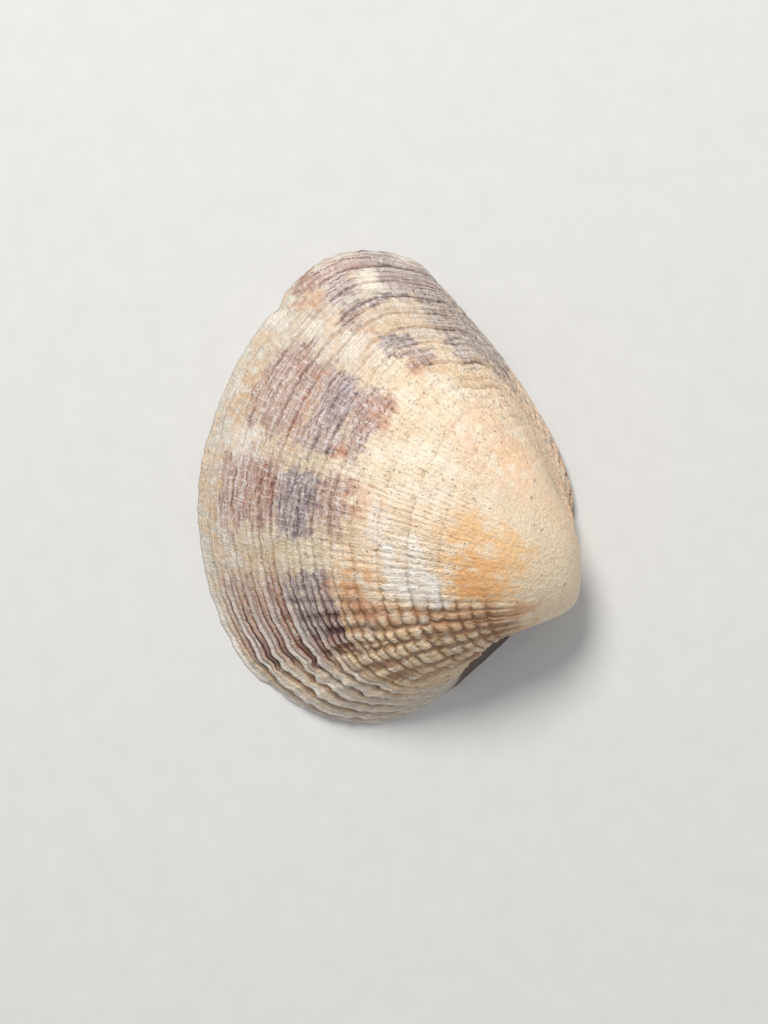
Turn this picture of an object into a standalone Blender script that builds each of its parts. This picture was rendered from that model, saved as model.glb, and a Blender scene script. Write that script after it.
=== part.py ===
"""Right valve of a venus clam, lying on its margin with the outer face up.

The valve is one closed body. Its outer face is a growth surface: the loop of the margin,
drawn in to a pole under the beak while it turns up about the hinge axis, the way a clam
lays down its shell. Growth ridges, ribs, beads and the lunule are raised or sunk on it.
The flat rim, the hinge plate with its three teeth, and the hollow inside close the body.

The named sizes are in millimetres and the model is in metres. +X points to the front end,
+Y to the beak and +Z up. The origin is in the middle of the base.
"""

import math

import bmesh
import bpy
import numpy as np
from mathutils import Matrix, Vector

MM = 0.001
COLLECTION = "venus_clam_shell"

# The margin on its plane, from the front of the beak round by the front end
MARGIN = [
    (10.7, 15.2), (13.2, 12.1), (17.1, 7.8), (19.3, 5.0), (21.2, 1.5), (22.0, -3.4),
    (20.5, -8.4), (16.2, -13.2), (10.3, -16.1), (2.0, -17.5), (-5.0, -16.6), (-12.5, -13.5),
    (-18.0, -9.4), (-21.2, -5.6), (-21.9, -0.6), (-20.4, 3.8), (-17.6, 6.3), (-13.4, 9.7),
    (-4.4, 15.5), (0.6, 17.1), (5.7, 17.1), (9.0, 16.1),
]
KNOT_POWER = 0.7
SPAN_STEPS = 60

# Growth of the outer face
POLE = (8.3, 15.4)
POLE_HEIGHT = 1.6
HINGE_TURN = math.radians(-11.5)
COIL = 0.91
BLUNT = 0.09

# Growth ridges and ribs: growth is 1 at the margin, and a place is a share of its length
SEGMENTS = 88
RIDGES = 17
RIDGE_STEP = 0.04
RIDGE_FOOT = 0.35
RIDGE_HEIGHT = 0.26
WORN_FROM = 0.30
SHARP_FROM = 0.72
WORN_SHARE = 0.25
RIB_HEIGHT = 0.12
RIB_BETWEEN_RIDGES = 0.4
BEAD_HEIGHT = 0.16
BEADS = (0.165, 0.05)
STEEP_BACK = (0.74, 0.06)
STEEP_BACK_GAIN = 0.6
CROWDED = 0.15
OPEN = 0.45
BEAK_GROWTH = (0.265, 0.21, 0.165, 0.125, 0.09, 0.055, 0.025)

# Lunule, the sunken heart in front of the beak
LUNULE_END = 0.125
LUNULE_SOFT = 0.018
LUNULE_DEPTH = 0.5
LUNULE_RISE = (0.3, 3.0)

# Rim, hinge plate and hollow
RIM_CENTRE = (1.0, 0.0)
RIM_WIDTH = 1.0
FOOT_INSET = 1.4
MOUTH_INSET = 2.0
PLATE_INSET = 3.6
PLATE_SPREAD = 7.0
PLATE_HEIGHT = 1.0
PLATE_FOOT = 0.35
PLATE_RISE = 0.5
LIP_HEIGHT = 0.45
LIP_FADE = 4
HOLLOW_DROP = 5.6
HOLLOW_POLE_HEIGHT = 2.4
HOLLOW_BLUNT = 0.26
HOLLOW_HEIGHT = 1.08
HOLLOW_GROWTH = (0.96, 0.89, 0.79, 0.66, 0.52, 0.38, 0.25, 0.14, 0.06)

# Teeth under the beak: where each starts, its direction from the front, and its length
TEETH = [
    ((9.4, 13.1), math.radians(-62), 2.7),
    ((7.7, 13.5), math.radians(-95), 3.2),
    ((6.2, 14.0), math.radians(-148), 4.2),
]
TOOTH_WIDTH = 0.85
TOOTH_START_WIDTH = 0.65
TOOTH_TIP_WIDTH = 0.45
TOOTH_TIP_LENGTH = 0.88
TOOTH_TIP = 0.2
TOOTH_ROOT = 0.3

SHELL_COLOUR = (0.80, 0.68, 0.50, 1.0)
SHELL_ROUGHNESS = 0.45
SHARP_EDGE = math.radians(35)


def smooth_loop(points, count):
    """Closed cubic spline through the points, read off at equal steps of length."""
    here = np.array(points)
    ahead = np.roll(here, -1, axis=0)
    span = np.linalg.norm(ahead - here, axis=1) ** KNOT_POWER
    knots = len(here)
    system = np.zeros((knots, knots))
    right = np.zeros((knots, 2))
    for i in range(knots):
        before, after = span[i - 1], span[i]
        system[i, i - 1] = after
        system[i, i] = 2 * (before + after)
        system[i, (i + 1) % knots] = before
        pull = after * (here[i] - here[i - 1]) / before
        right[i] = 3 * (pull + before * (ahead[i] - here[i]) / after)
    slope = np.linalg.solve(system, right)
    u = np.linspace(0, 1, SPAN_STEPS, endpoint=False)[:, None]
    path = []
    for i in range(knots):
        out = slope[i] * span[i]
        into = slope[(i + 1) % knots] * span[i]
        rise = ahead[i] - here[i]
        path.append(here[i] + out * u + (3 * rise - 2 * out - into) * u**2
                    + (out + into - 2 * rise) * u**3)
    path = np.vstack(path + [here[:1]])
    run = np.concatenate([[0], np.cumsum(np.linalg.norm(np.diff(path, axis=0), axis=1))])
    stops = np.linspace(0, run[-1], count, endpoint=False)
    return np.stack([np.interp(stops, run, path[:, k]) for k in range(2)], axis=1)


def smooth_step(low, high, value):
    """0 below low and 1 above high, with a smooth rise between them."""
    x = np.clip((value - low) / (high - low), 0, 1)
    return x * x * (3 - 2 * x)


def bump(centre, width, value):
    """A smooth bell of height 1."""
    return np.exp(-(((value - centre) / width) ** 2))


def grow(loop, growth, pole, pole_height, blunt):
    """One row of points for each growth value: 1 is the loop on its plane, 0 the apex."""
    along_axis = np.array([math.cos(HINGE_TURN), math.sin(HINGE_TURN)])
    to_front = np.array([math.sin(HINGE_TURN), -math.cos(HINGE_TURN)])
    growth = np.atleast_1d(growth)[:, None]
    turn = np.log((1 + blunt**2) / (growth**2 + blunt**2)) / (2 * COIL)
    along = (loop - pole) @ along_axis
    depth = (loop - pole) @ to_front
    outward = (depth * np.cos(turn) + pole_height * np.sin(turn)) * growth
    height = (depth * np.sin(turn) - pole_height * np.cos(turn)) * growth + pole_height
    flat = (along * growth)[..., None] * along_axis + outward[..., None] * to_front + pole
    return np.concatenate([flat, height[..., None]], axis=2)


def outer_point(loop, growth):
    """The outer face without its relief."""
    return grow(loop, growth, np.array(POLE), POLE_HEIGHT, BLUNT)


def face_frame(loop, growth):
    """Outward unit normals of the outer face, and how far apart its ridges stand."""
    nudge = 0.002
    low = np.maximum(growth - nudge, 0.001)
    across = outer_point(loop, growth + nudge) - outer_point(loop, low)
    across = across / (growth + nudge - low)[:, None, None]
    rows = outer_point(loop, growth)
    along = np.roll(rows, -1, axis=1) - np.roll(rows, 1, axis=1)
    along = along / np.linalg.norm(along, axis=2, keepdims=True)
    normal = np.cross(along, across)
    spread = np.linalg.norm(normal, axis=2, keepdims=True)
    return normal / spread, spread[..., 0] * RIDGE_STEP


def relief(above, growth, crest, spacing):
    """Height of the ridges, ribs and beads over the outer face, and depth of the lunule."""
    column = np.arange(SEGMENTS)[None, :]
    place = column / SEGMENTS
    growth, crest = growth[:, None], crest[:, None]
    worn = WORN_SHARE + (1 - WORN_SHARE) * smooth_step(WORN_FROM, SHARP_FROM, growth)
    rib = np.where(column % 2 == 0, RIB_HEIGHT + BEAD_HEIGHT * bump(*BEADS, place), 0.0)
    rib = rib * (RIB_BETWEEN_RIDGES + (1 - RIB_BETWEEN_RIDGES) * crest)
    ridge = crest * RIDGE_HEIGHT * (1 + STEEP_BACK_GAIN * bump(*STEEP_BACK, place))
    height = (ridge + rib) * worn * smooth_step(CROWDED, OPEN, spacing)
    in_lunule = 1 - smooth_step(LUNULE_END - LUNULE_SOFT, LUNULE_END, place)
    in_lunule = in_lunule * smooth_step(0.0, LUNULE_SOFT, place)
    sunk = LUNULE_DEPTH * in_lunule * smooth_step(*LUNULE_RISE, above)
    height = height * (1 - in_lunule) - sunk
    return height * smooth_step(0.0, RIDGE_STEP * (1 - RIDGE_FOOT), 1 - growth)


def outer_rows(loop):
    """Rows of the outer face from the beak to the margin."""
    growth, crest = list(reversed(BEAK_GROWTH)), [0.0] * len(BEAK_GROWTH)
    for k in range(RIDGES, 0, -1):
        top = 1 - k * RIDGE_STEP
        growth += [top, top + RIDGE_FOOT * RIDGE_STEP]
        crest += [1.0, 0.0]
    growth = np.array(growth + [1.0])
    crest = np.array(crest + [0.0])
    rows = outer_point(loop, growth)
    normal, spacing = face_frame(loop, growth)
    above = rows[..., 2].copy()
    rows = rows + relief(above, growth, crest, spacing)[..., None] * normal
    rows[..., 2] = np.maximum(rows[..., 2], above / 2)
    return rows


def inset(loop, width):
    """The loop drawn in by a width, straight towards the middle of the valve."""
    arm = loop - np.array(RIM_CENTRE)
    return loop - arm / np.linalg.norm(arm, axis=1, keepdims=True) * width[:, None]


def inner_rows(loop):
    """Rows of the rim, the hinge plate and the hollow, from the margin to the deepest row."""
    near_beak = bump(0, PLATE_SPREAD, np.linalg.norm(loop - np.array(POLE), axis=1))
    rim = inset(loop, np.full(SEGMENTS, RIM_WIDTH))
    foot = inset(loop, np.full(SEGMENTS, FOOT_INSET))
    mouth = inset(loop, MOUTH_INSET + PLATE_INSET * near_beak)
    height = LIP_HEIGHT + (PLATE_HEIGHT - LIP_HEIGHT) * near_beak**PLATE_RISE
    rows = [
        np.column_stack([rim, np.zeros(SEGMENTS)]),
        np.column_stack([foot, np.full(SEGMENTS, PLATE_FOOT)]),
        np.column_stack([mouth, height]),
    ]
    to_front = np.array([math.sin(HINGE_TURN), -math.cos(HINGE_TURN)])
    pole = np.array(POLE) + HOLLOW_DROP * to_front
    growth = np.array(HOLLOW_GROWTH)
    hollow = grow(mouth, growth, pole, HOLLOW_POLE_HEIGHT, HOLLOW_BLUNT)
    hollow[..., 2] = hollow[..., 2] * HOLLOW_HEIGHT + height * growth[:, None] ** LIP_FADE
    return rows + list(hollow)


def make_valve(name):
    """The valve's body: a sphere whose rings become the rows of the two faces."""
    loop = smooth_loop(MARGIN, SEGMENTS)
    upper = outer_rows(loop)
    lower = inner_rows(loop)
    rows = np.concatenate([upper, lower])
    apex = outer_point(loop, np.array([0.0]))[0].mean(axis=0)
    deepest = lower[-1].mean(axis=0)
    mesh = bmesh.new()
    bmesh.ops.create_uvsphere(mesh, u_segments=SEGMENTS, v_segments=len(rows) + 1, radius=1)
    for vert in mesh.verts:
        ring = round(math.acos(max(-1, min(1, vert.co.z))) / math.pi * (len(rows) + 1))
        column = round(-math.atan2(vert.co.y, vert.co.x) / math.tau * SEGMENTS) % SEGMENTS
        if ring == 0:
            vert.co = Vector(apex) * MM
        elif ring == len(rows) + 1:
            vert.co = Vector(deepest) * MM
        else:
            vert.co = Vector(rows[ring - 1][column]) * MM
    bmesh.ops.triangulate(mesh, faces=mesh.faces[:])
    data = bpy.data.meshes.new(name)
    mesh.to_mesh(data)
    mesh.free()
    return bpy.data.objects.new(name, data)


def make_tooth(name, start, heading, length):
    """A tapered ridge that stands down from the hinge plate."""
    mesh = bmesh.new()
    bmesh.ops.create_cube(mesh, size=1)
    for vert in mesh.verts:
        is_tip = vert.co.z < 0
        narrow = TOOTH_TIP_WIDTH if is_tip else 1.0
        taper = TOOTH_START_WIDTH if vert.co.x < 0 else 1.0
        shorten = TOOTH_TIP_LENGTH if is_tip else 1.0
        vert.co.y *= TOOTH_WIDTH * narrow * taper
        vert.co.x = (0.5 + vert.co.x * shorten) * length
        vert.co.z = TOOTH_TIP if is_tip else PLATE_HEIGHT + TOOTH_ROOT
    bmesh.ops.scale(mesh, vec=Vector((MM, MM, MM)), verts=mesh.verts)
    place = Matrix.Translation(Vector((*start, 0)) * MM) @ Matrix.Rotation(heading, 4, "Z")
    bmesh.ops.transform(mesh, matrix=place, verts=mesh.verts)
    data = bpy.data.meshes.new(name)
    mesh.to_mesh(data)
    mesh.free()
    return bpy.data.objects.new(name, data)


def shell_material():
    """Plain cream shell."""
    material = bpy.data.materials.new("shell")
    material.use_nodes = True
    surface = material.node_tree.nodes["Principled BSDF"]
    surface.inputs["Base Color"].default_value = SHELL_COLOUR
    surface.inputs["Roughness"].default_value = SHELL_ROUGHNESS
    surface.inputs["Metallic"].default_value = 0.0
    return material


def main():
    for thing in list(bpy.data.objects):
        bpy.data.objects.remove(thing, do_unlink=True)
    parts = bpy.data.collections.new(COLLECTION)
    cutters = bpy.data.collections.new("tooth_forms")
    bpy.context.scene.collection.children.link(parts)
    bpy.context.scene.collection.children.link(cutters)

    valve = make_valve("valve")
    parts.objects.link(valve)
    valve.data.materials.append(shell_material())
    for number, (start, heading, length) in enumerate(TEETH, 1):
        tooth = make_tooth(f"tooth_form_{number}", start, heading, length)
        cutters.objects.link(tooth)
        tooth.hide_render = True
        tooth.display_type = "WIRE"
        union = valve.modifiers.new(f"tooth_{number}", "BOOLEAN")
        union.operation = "UNION"
        union.object = tooth
    valve.data.shade_smooth()
    valve.data.set_sharp_from_angle(angle=SHARP_EDGE)


main()
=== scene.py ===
"""Looks of the right valve of a venus clam: its worn, ridged and coloured outer face, its
glossy inside, and a plain stage. The sizes below are in millimetres and the model in metres.
"""

import math

import bmesh
import bpy
import numpy as np
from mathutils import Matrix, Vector, noise


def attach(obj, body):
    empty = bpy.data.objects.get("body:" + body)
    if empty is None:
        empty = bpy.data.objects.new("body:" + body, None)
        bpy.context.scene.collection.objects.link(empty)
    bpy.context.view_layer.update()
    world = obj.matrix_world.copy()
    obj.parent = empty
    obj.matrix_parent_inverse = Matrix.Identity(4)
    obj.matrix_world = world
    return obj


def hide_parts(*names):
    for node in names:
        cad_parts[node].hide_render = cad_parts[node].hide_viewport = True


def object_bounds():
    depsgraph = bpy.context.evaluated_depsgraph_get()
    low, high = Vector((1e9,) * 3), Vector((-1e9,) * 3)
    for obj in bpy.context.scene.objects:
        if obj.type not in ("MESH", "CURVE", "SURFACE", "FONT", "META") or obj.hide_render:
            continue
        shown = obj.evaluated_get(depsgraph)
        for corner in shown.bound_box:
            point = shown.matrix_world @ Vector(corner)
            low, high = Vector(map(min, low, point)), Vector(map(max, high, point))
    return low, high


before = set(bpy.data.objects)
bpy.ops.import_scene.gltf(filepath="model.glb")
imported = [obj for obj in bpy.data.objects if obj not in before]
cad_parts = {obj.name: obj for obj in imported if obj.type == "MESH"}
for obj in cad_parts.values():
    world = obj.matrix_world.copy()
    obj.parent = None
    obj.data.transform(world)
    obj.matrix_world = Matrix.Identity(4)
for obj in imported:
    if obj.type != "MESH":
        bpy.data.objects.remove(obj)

bl_info = {
    "name": "Venus clam valve",
    "version": (1, 0, 0),
    "blender": (4, 5, 0),
    "location": "3D View > Sidebar > Clam",
    "description": "Models one valve of a venus clam with its growth ridges, ribs and colour rays",
    "category": "Object",
}

MM = 0.001
CAD_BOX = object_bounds()

# The margin on its plane, from the front of the beak round by the front end
MARGIN = [
    (10.7, 15.2), (13.2, 12.1), (17.1, 7.8), (19.3, 5.0), (21.2, 1.5), (22.0, -3.4),
    (20.5, -8.4), (16.2, -13.2), (10.3, -16.1), (2.0, -17.5), (-5.0, -16.6), (-12.5, -13.5),
    (-18.0, -9.4), (-21.2, -5.6), (-21.9, -0.6), (-20.4, 3.8), (-17.6, 6.3), (-13.4, 9.7),
    (-4.4, 15.5), (0.6, 17.1), (5.7, 17.1), (9.0, 16.1),
]
KNOT_POWER = 0.7
SPAN_STEPS = 200

# Growth of the outer face: growth is 1 at the margin, and a place is a share of its length
POLE = (8.3, 15.4)
POLE_HEIGHT = 1.6
HINGE_TURN = math.radians(-11.5)
COIL = 0.91
BLUNT = 0.09

# Growth lines, the grooves between the ridges, and the rows of points on each ridge and on the beak
GROWTH_LINES = (
    0.984, 0.966, 0.947, 0.930, 0.914, 0.897, 0.880, 0.864, 0.848, 0.831, 0.815, 0.800, 0.784,
    0.769, 0.755, 0.740, 0.725, 0.709, 0.692, 0.673, 0.652, 0.630, 0.606, 0.580, 0.552, 0.523,
    0.494, 0.464, 0.434, 0.405, 0.375,
)
RIDGE_ROWS = ((0.0, 0.0), (0.22, 0.60), (0.52, 0.88), (0.82, 1.0))
BEAK_ROWS = 32
BEAK_LINE = 0.033

# Ribs: the width of a rib along the margin, at places round the valve
RIB_WIDTHS = ((0.0, 0.027), (0.27, 0.027), (0.32, 0.015), (0.38, 0.0095), (0.46, 0.0078),
              (0.62, 0.0076), (0.70, 0.011), (0.76, 0.015), (1.0, 0.017))
COLUMN_WIDTH = 0.0034
RIB_COLUMNS = 5

# Large forms of the outer face: the sunken field before the beak, the beak, and the back slope
LUNULE_EDGE = 0.108
LUNULE_BEND = 0.25
LUNULE_DEPTH = 0.5
BEAK_SWELL = 0.6
BEAK_NIP = 0.45
BEHIND_BEAK = 0.7
BACK_BULGE = 1.1
BACK_TUCK = 0.5
BACK_SPREAD = 0.25

# Zones of the outer face, as the places or growths where each fades in and where it fades out
BACK_SPAN = (0.67, 0.77, 0.90, 0.97)
FRONT_SPAN = (0.12, 0.15, 0.28, 0.37)
LAYERED_SPAN = (0.11, 0.15, 0.25, 0.31)
FINE_BEAD_SPAN = (0.28, 0.34, 0.40, 0.56)
FINE_BEAD_GROWTH = (0.40, 0.50, 0.68, 0.80)
PIT_SPAN = (0.33, 0.42, 0.74, 0.82)
PIT_GROWTH = (0.34, 0.44, 0.70, 0.80)
REAR_FROM = (0.58, 0.68)

# Small relief, with the depth of a groove that is fully dark
GROOVE_DEPTH = 0.22
RIDGE_DEPTH = 0.169
WEAK_LINE = 0.22
BEAD_DEPTH = 0.36
FINE_BEAD_DEPTH = 0.16
PIT_DEPTH = 0.13
PITTED_SHARE = 0.72
LAYER_DEPTH = 0.48
LAYER_RIDGES = 3
STEP_DEPTH = 0.16
SCALLOP = 0.32
RIB_SCALLOP = 0.18
EVEN_WEAR = 0.12
BOX_GAP = 0.01

# Chance: the seeds, the size of the tables drawn, and a row of them that no rib uses
BEAD_SEED = 11
PAINT_SEED = 5
LUCK_SIZE = 200
LINE_LUCK_ROW = 150
SEED_STEP = 7.3

# Rim, hinge plate and hollow
RIM_CENTRE = (1.0, 0.0)
RIM_WIDTH = 1.0
FOOT_INSET = 1.4
MOUTH_INSET = 2.0
PLATE_INSET = 3.6
PLATE_SPREAD = 7.0
PLATE_HEIGHT = 1.0
PLATE_FOOT = 0.35
PLATE_RISE = 0.5
PLATE_ROWS = 14
LIP_HEIGHT = 0.45
LIP_FADE = 4
HOLLOW_DROP = 5.6
HOLLOW_POLE_HEIGHT = 2.4
HOLLOW_BLUNT = 0.26
HOLLOW_HEIGHT = 1.08
HOLLOW_ROWS = 34

# Teeth and sockets of the hinge: start, heading, length, width, and height (+) or depth (-)
TEETH = (
    ((9.4, 13.1), -62, 2.7, 0.8, 1.0), ((7.7, 13.5), -95, 3.2, 0.85, 1.0),
    ((6.2, 14.0), -148, 4.2, 0.9, 1.0), ((8.7, 13.4), -80, 2.9, 0.6, -0.4),
    ((6.9, 13.7), -122, 3.2, 0.7, -0.4), ((10.6, 12.9), -50, 2.6, 0.6, -0.35),
)

# Marks inside, as centre, radii and turn: the two muscle scars, and the pocket of the mantle line
FRONT_SCAR = ((15.6, 1.6), (3.4, 2.1), -62)
REAR_SCAR = ((-13.0, 3.6), (3.1, 2.3), 35)
POCKET = ((-8.5, -2.0), (7.5, 3.4), 12)
MANTLE_LINE = 1.46

# Surface colours, given and then matched to the photo's tones
TONES = {
    "off_white": (0.82, 0.77, 0.70), "cream": (0.90, 0.82, 0.71), "beak": (0.91, 0.83, 0.71),
    "margin": (0.77, 0.74, 0.69), "pale": (0.92, 0.88, 0.81), "sand": (0.86, 0.74, 0.60),
    "white": (0.93, 0.91, 0.88), "mauve": (0.69, 0.55, 0.50), "red_brown": (0.62, 0.42, 0.35),
    "rust": (0.74, 0.50, 0.36), "slate": (0.58, 0.52, 0.53), "lavender": (0.70, 0.61, 0.58),
    "plum": (0.29, 0.19, 0.19), "frost": (0.84, 0.81, 0.82), "tan": (0.78, 0.66, 0.53),
    "orange": (0.91, 0.70, 0.45), "amber": (0.88, 0.62, 0.34), "peach": (0.91, 0.79, 0.67),
    "coral": (0.93, 0.72, 0.56), "olive": (0.79, 0.73, 0.61), "grey": (0.65, 0.59, 0.56),
    "dirt_and_shade": (0.52, 0.34, 0.20), "pit": (0.66, 0.51, 0.37), "lunule": (0.17, 0.12, 0.11),
    "lunule_pale": (0.44, 0.34, 0.30), "porcelain": (0.90, 0.86, 0.80),
    "gold": (0.88, 0.75, 0.57), "ochre": (0.57, 0.37, 0.22), "sienna": (0.78, 0.53, 0.33),
    "inner_white": (0.94, 0.92, 0.89), "inner_cream": (0.90, 0.84, 0.74),
}
RAY_TONES = ("mauve", "red_brown", "slate", "lavender", "grey")
STAIN_TONES = ("gold", "sienna", "orange", "amber", "peach", "coral", "rust", "tan", "olive")

# Softness of the paint's edges along the margin and along growth, and its share for stains and rays
PLACE_SOFT = 0.020
GROWTH_SOFT = 0.034
STAIN_SOFT = 1.7
RAY_SOFT = 0.6

# Painted places: colour, strength, span along the margin and span of growth
PAINT = (
    ("tan", 0.50, (0.140, 0.265), (0.70, 1.02)),
    ("gold", 0.65, (0.150, 0.335), (0.40, 0.76)),
    ("tan", 0.5, (0.472, 0.572), (0.64, 0.965)),
    ("lavender", 0.7, (0.486, 0.570), (0.65, 0.90)),
    ("tan", 0.5, (0.392, 0.470), (0.61, 0.96)),
    ("mauve", 0.6, (0.396, 0.468), (0.65, 0.90)),
    ("mauve", 0.5, (0.272, 0.362), (0.68, 0.92)),
    ("olive", 0.7, (0.350, 0.405), (0.68, 0.87)),
    ("olive", 0.5, (0.462, 0.490), (0.69, 0.86)),
    ("white", 0.5, (0.450, 0.482), (0.86, 0.955)),
    ("tan", 0.6, (0.27, 0.32), (0.94, 1.0)),
    ("tan", 0.7, (0.240, 0.375), (0.76, 0.97)),
    ("mauve", 0.9, (0.270, 0.350), (0.84, 0.96)),
    ("red_brown", 0.45, (0.275, 0.345), (0.85, 0.95)),
    ("red_brown", 0.95, (0.255, 0.355), (0.79, 0.85)),
    ("slate", 0.95, (0.285, 0.362), (0.68, 0.795)),
    ("red_brown", 0.7, (0.268, 0.292), (0.72, 0.81)),
    ("red_brown", 0.6, (0.290, 0.318), (0.675, 0.72)),
    ("rust", 0.8, (0.320, 0.368), (0.595, 0.69)),
    ("tan", 0.7, (0.385, 0.450), (0.925, 0.965)),
    ("mauve", 0.8, (0.395, 0.452), (0.83, 0.935)),
    ("red_brown", 0.85, (0.405, 0.452), (0.795, 0.84)),
    ("slate", 1.0, (0.395, 0.465), (0.70, 0.79)),
    ("mauve", 0.8, (0.420, 0.470), (0.64, 0.705)),
    ("rust", 0.6, (0.435, 0.472), (0.60, 0.66)),
    ("tan", 0.6, (0.412, 0.442), (0.97, 1.02)),
    ("tan", 0.8, (0.475, 0.530), (0.89, 0.965)),
    ("mauve", 0.7, (0.482, 0.555), (0.79, 0.91)),
    ("rust", 0.6, (0.478, 0.558), (0.775, 0.805)),
    ("lavender", 1.0, (0.485, 0.568), (0.69, 0.785)),
    ("slate", 0.75, (0.520, 0.568), (0.695, 0.74)),
    ("lavender", 0.95, (0.510, 0.575), (0.64, 0.70)),
    ("mauve", 0.80, (0.515, 0.570), (0.65, 0.70)),
    ("rust", 0.6, (0.535, 0.578), (0.62, 0.67)),
    ("red_brown", 0.4, (0.545, 0.560), (0.78, 0.90)),
    ("slate", 0.9, (0.612, 0.645), (0.70, 0.752)),
    ("lavender", 1.0, (0.616, 0.652), (0.66, 0.71)),
    ("rust", 0.6, (0.616, 0.652), (0.63, 0.672)),
    ("rust", 0.55, (0.586, 0.604), (0.88, 1.01)),
    ("red_brown", 0.75, (0.592, 0.622), (0.960, 1.03)),
    ("mauve", 0.85, (0.600, 0.665), (0.94, 0.988)),
    ("lavender", 0.95, (0.602, 0.634), (0.87, 0.937)),
    ("grey", 0.9, (0.650, 0.72), (0.86, 0.99)),
    ("pale", 0.85, (0.632, 0.654), (0.872, 0.927)),
    ("lavender", 0.8, (0.654, 0.705), (0.88, 0.925)),
    ("slate", 0.95, (0.600, 0.72), (0.834, 0.860)),
    ("red_brown", 0.7, (0.600, 0.622), (0.81, 0.85)),
    ("rust", 0.5, (0.604, 0.626), (0.745, 0.805)),
    ("tan", 0.55, (0.620, 0.700), (0.75, 0.84)),
    ("grey", 0.75, (0.678, 0.79), (0.64, 0.99)),
    ("peach", 0.8, (0.680, 0.99), (0.38, 0.67)),
    ("peach", 0.8, (0.785, 0.99), (0.64, 0.90)),
    ("orange", 0.66, (0.325, 0.490), (0.295, 0.465)),
    ("amber", 0.50, (0.335, 0.425), (0.335, 0.445)),
    ("amber", 0.45, (0.328, 0.368), (0.37, 0.43)),
    ("sienna", 0.40, (0.195, 0.340), (0.265, 0.400)),
    ("sienna", 0.55, (0.262, 0.324), (0.285, 0.500)),
    ("tan", 0.5, (0.13, 0.33), (0.32, 0.50)),
    ("coral", 0.9, (0.580, 0.690), (0.345, 0.445)),
    ("orange", 0.85, (0.596, 0.664), (0.370, 0.442)),
    ("orange", 0.45, (0.615, 0.668), (0.460, 0.530)),
    ("gold", 0.60, (0.645, 0.702), (0.580, 0.650)),
    ("coral", 0.25, (0.840, 0.975), (0.40, 0.95)),
    ("peach", 0.9, (0.570, 0.700), (0.45, 0.545)),
    ("peach", 0.8, (0.560, 0.800), (0.16, 0.46)),
    ("rust", 0.9, (0.486, 0.501), (0.672, 0.703)),
    ("orange", 0.5, (0.345, 0.395), (0.57, 0.67)),
    ("rust", 0.75, (0.302, 0.328), (0.48, 0.67)),
    ("peach", 0.9, (0.430, 0.465), (0.56, 0.62)),
    ("white", 0.8, (0.325, 0.382), (0.460, 0.494)),
    ("white", 0.8, (0.325, 0.372), (0.500, 0.534)),
    ("white", 0.7, (0.345, 0.415), (0.538, 0.568)),
    ("white", 0.5, (0.400, 0.452), (0.56, 0.60)),
    ("white", 0.5, (0.370, 0.422), (0.495, 0.525)),
)

# Camera over the middle of the picture, and the height that the picture spans on the floor
CAMERA_OVER = (2.21, -0.27)
CAMERA_HEIGHT = 260.0
PICTURE_SPAN = 94.2
FILM = 36.0

# The stage in metres and watts. Each lamp has a name, place, width, power and colour
LAMPS = (
    ("key", (-0.32, -0.12, 0.39), 0.20, 2.6, (1.0, 0.985, 0.965)),
    ("fill", (0.05, 0.34, 0.40), 0.40, 0.35, (0.97, 0.98, 1.0)),
)
SKY_COLOUR = (0.95, 0.97, 1.0, 1.0)
SKY_STRENGTH = 0.38
FLOOR_DROP = 0.00003


def smooth_step(low, high, value):
    """0 below low and 1 above high, with a smooth rise between them."""
    x = np.clip((value - low) / (high - low), 0, 1)
    return x * x * (3 - 2 * x)


def bump(centre, width, value):
    """A smooth bell of height 1."""
    return np.exp(-(((value - centre) / width) ** 2))


def plateau(span, value):
    """1 between the middle two of four values, with smooth sides down to the outer two."""
    return smooth_step(*span[:2], value) * (1 - smooth_step(*span[2:], value))


def smooth_loop(points, places):
    """Closed cubic spline through the points, read off at shares of its length."""
    here = np.array(points)
    ahead = np.roll(here, -1, axis=0)
    span = np.linalg.norm(ahead - here, axis=1) ** KNOT_POWER
    knots = len(here)
    system = np.zeros((knots, knots))
    right = np.zeros((knots, 2))
    for i in range(knots):
        before, after = span[i - 1], span[i]
        system[i, i - 1] = after
        system[i, i] = 2 * (before + after)
        system[i, (i + 1) % knots] = before
        pull = after * (here[i] - here[i - 1]) / before
        right[i] = 3 * (pull + before * (ahead[i] - here[i]) / after)
    slope = np.linalg.solve(system, right)
    u = np.linspace(0, 1, SPAN_STEPS, endpoint=False)[:, None]
    path = []
    for i in range(knots):
        out = slope[i] * span[i]
        into = slope[(i + 1) % knots] * span[i]
        rise = ahead[i] - here[i]
        path.append(here[i] + out * u + (3 * rise - 2 * out - into) * u**2
                    + (out + into - 2 * rise) * u**3)
    path = np.vstack(path + [here[:1]])
    run = np.concatenate([[0], np.cumsum(np.linalg.norm(np.diff(path, axis=0), axis=1))])
    stops = np.array(places) * run[-1]
    return np.stack([np.interp(stops, run, path[:, k]) for k in range(2)], axis=1)


def grow(loop, growth, pole, pole_height, blunt):
    """Points of a growth surface, one row of growth values for each row of points."""
    along_axis = np.array([math.cos(HINGE_TURN), math.sin(HINGE_TURN)])
    to_front = np.array([math.sin(HINGE_TURN), -math.cos(HINGE_TURN)])
    turn = np.log((1 + blunt**2) / (growth**2 + blunt**2)) / (2 * COIL)
    along = (loop - pole) @ along_axis
    depth = (loop - pole) @ to_front
    outward = (depth * np.cos(turn) + pole_height * np.sin(turn)) * growth
    height = (depth * np.sin(turn) - pole_height * np.cos(turn)) * growth + pole_height
    flat = (along * growth)[..., None] * along_axis + outward[..., None] * to_front + pole
    return np.concatenate([flat, height[..., None]], axis=2)


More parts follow.
